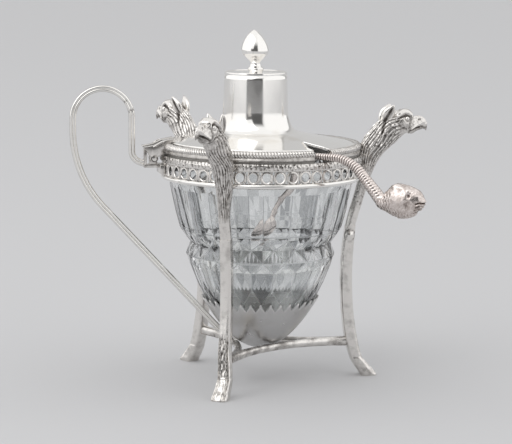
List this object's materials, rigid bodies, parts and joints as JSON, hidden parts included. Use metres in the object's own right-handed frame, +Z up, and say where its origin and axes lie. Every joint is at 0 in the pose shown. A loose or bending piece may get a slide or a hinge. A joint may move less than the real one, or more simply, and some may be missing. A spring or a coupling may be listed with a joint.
{
  "type": "mustard pot",
  "caption": "Silver mustard pot: cut-glass liner in an open frame on hoofed legs with beast heads, a hinged tower lid, a wire handle and a spoon through the lid's notch.",
  "frame": {"origin": "in the middle of the part's plan box, at the level of the hoofs' soles; the pot's axis is 4.4 mm toward +X and 0.8 mm toward +Y from it", "axes": "+Z up along the pot's axis; the handle and the lid hinge are toward -X and one leg is toward +X"},
  "size_m": [0.1504, 0.1228, 0.146],
  "materials": {
    "polished_silver": "polished sterling silver with fine scratches",
    "cast_silver": "cast and chased silver, darkened in the recesses",
    "spoon_silver": "cast silver with a warm tone",
    "cut_glass": "clear cut lead glass"
  },
  "bodies": {
    "frame": {"leg_right_lower": "cast_silver", "leg_rear_lower": "cast_silver", "leg_front_lower": "cast_silver", "leg_right_upper": "cast_silver", "leg_rear_upper": "cast_silver", "leg_front_upper": "cast_silver", "stretcher": "cast_silver", "calyx_cup": "polished_silver", "glass_liner": "cut_glass", "band_lower_moulding": "polished_silver", "band_frieze": "cast_silver", "band_upper_moulding": "cast_silver", "handle_loop": "polished_silver", "handle_hook": "polished_silver", "hinge_bracket": "polished_silver", "hinge_pin": "polished_silver"},
    "lid": {"lid_bezel": "polished_silver", "lid_rim_moulding": "cast_silver", "lid_dome": "polished_silver", "tower_cap": "polished_silver", "finial": "polished_silver", "finial_nut": "polished_silver", "lid_hinge_leaf": "polished_silver"},
    "spoon": {"spoon_stem": "spoon_silver", "spoon_head": "spoon_silver", "spoon_bowl": "spoon_silver"}
  },
  "joints": [
    {"name": "lid_hinge", "type": "hinge", "parent": "frame", "child": "lid", "pos_m": [-0.04093, 0.00001, 0.0937], "axis": [0, -1, 0], "range_deg": [0, 80]},
    {"name": "spoon_draw", "type": "slide", "parent": "frame", "child": "spoon", "axis": [0.4698, -0.329, 0.8191], "range_m": [0, 0.02]}
  ]
}
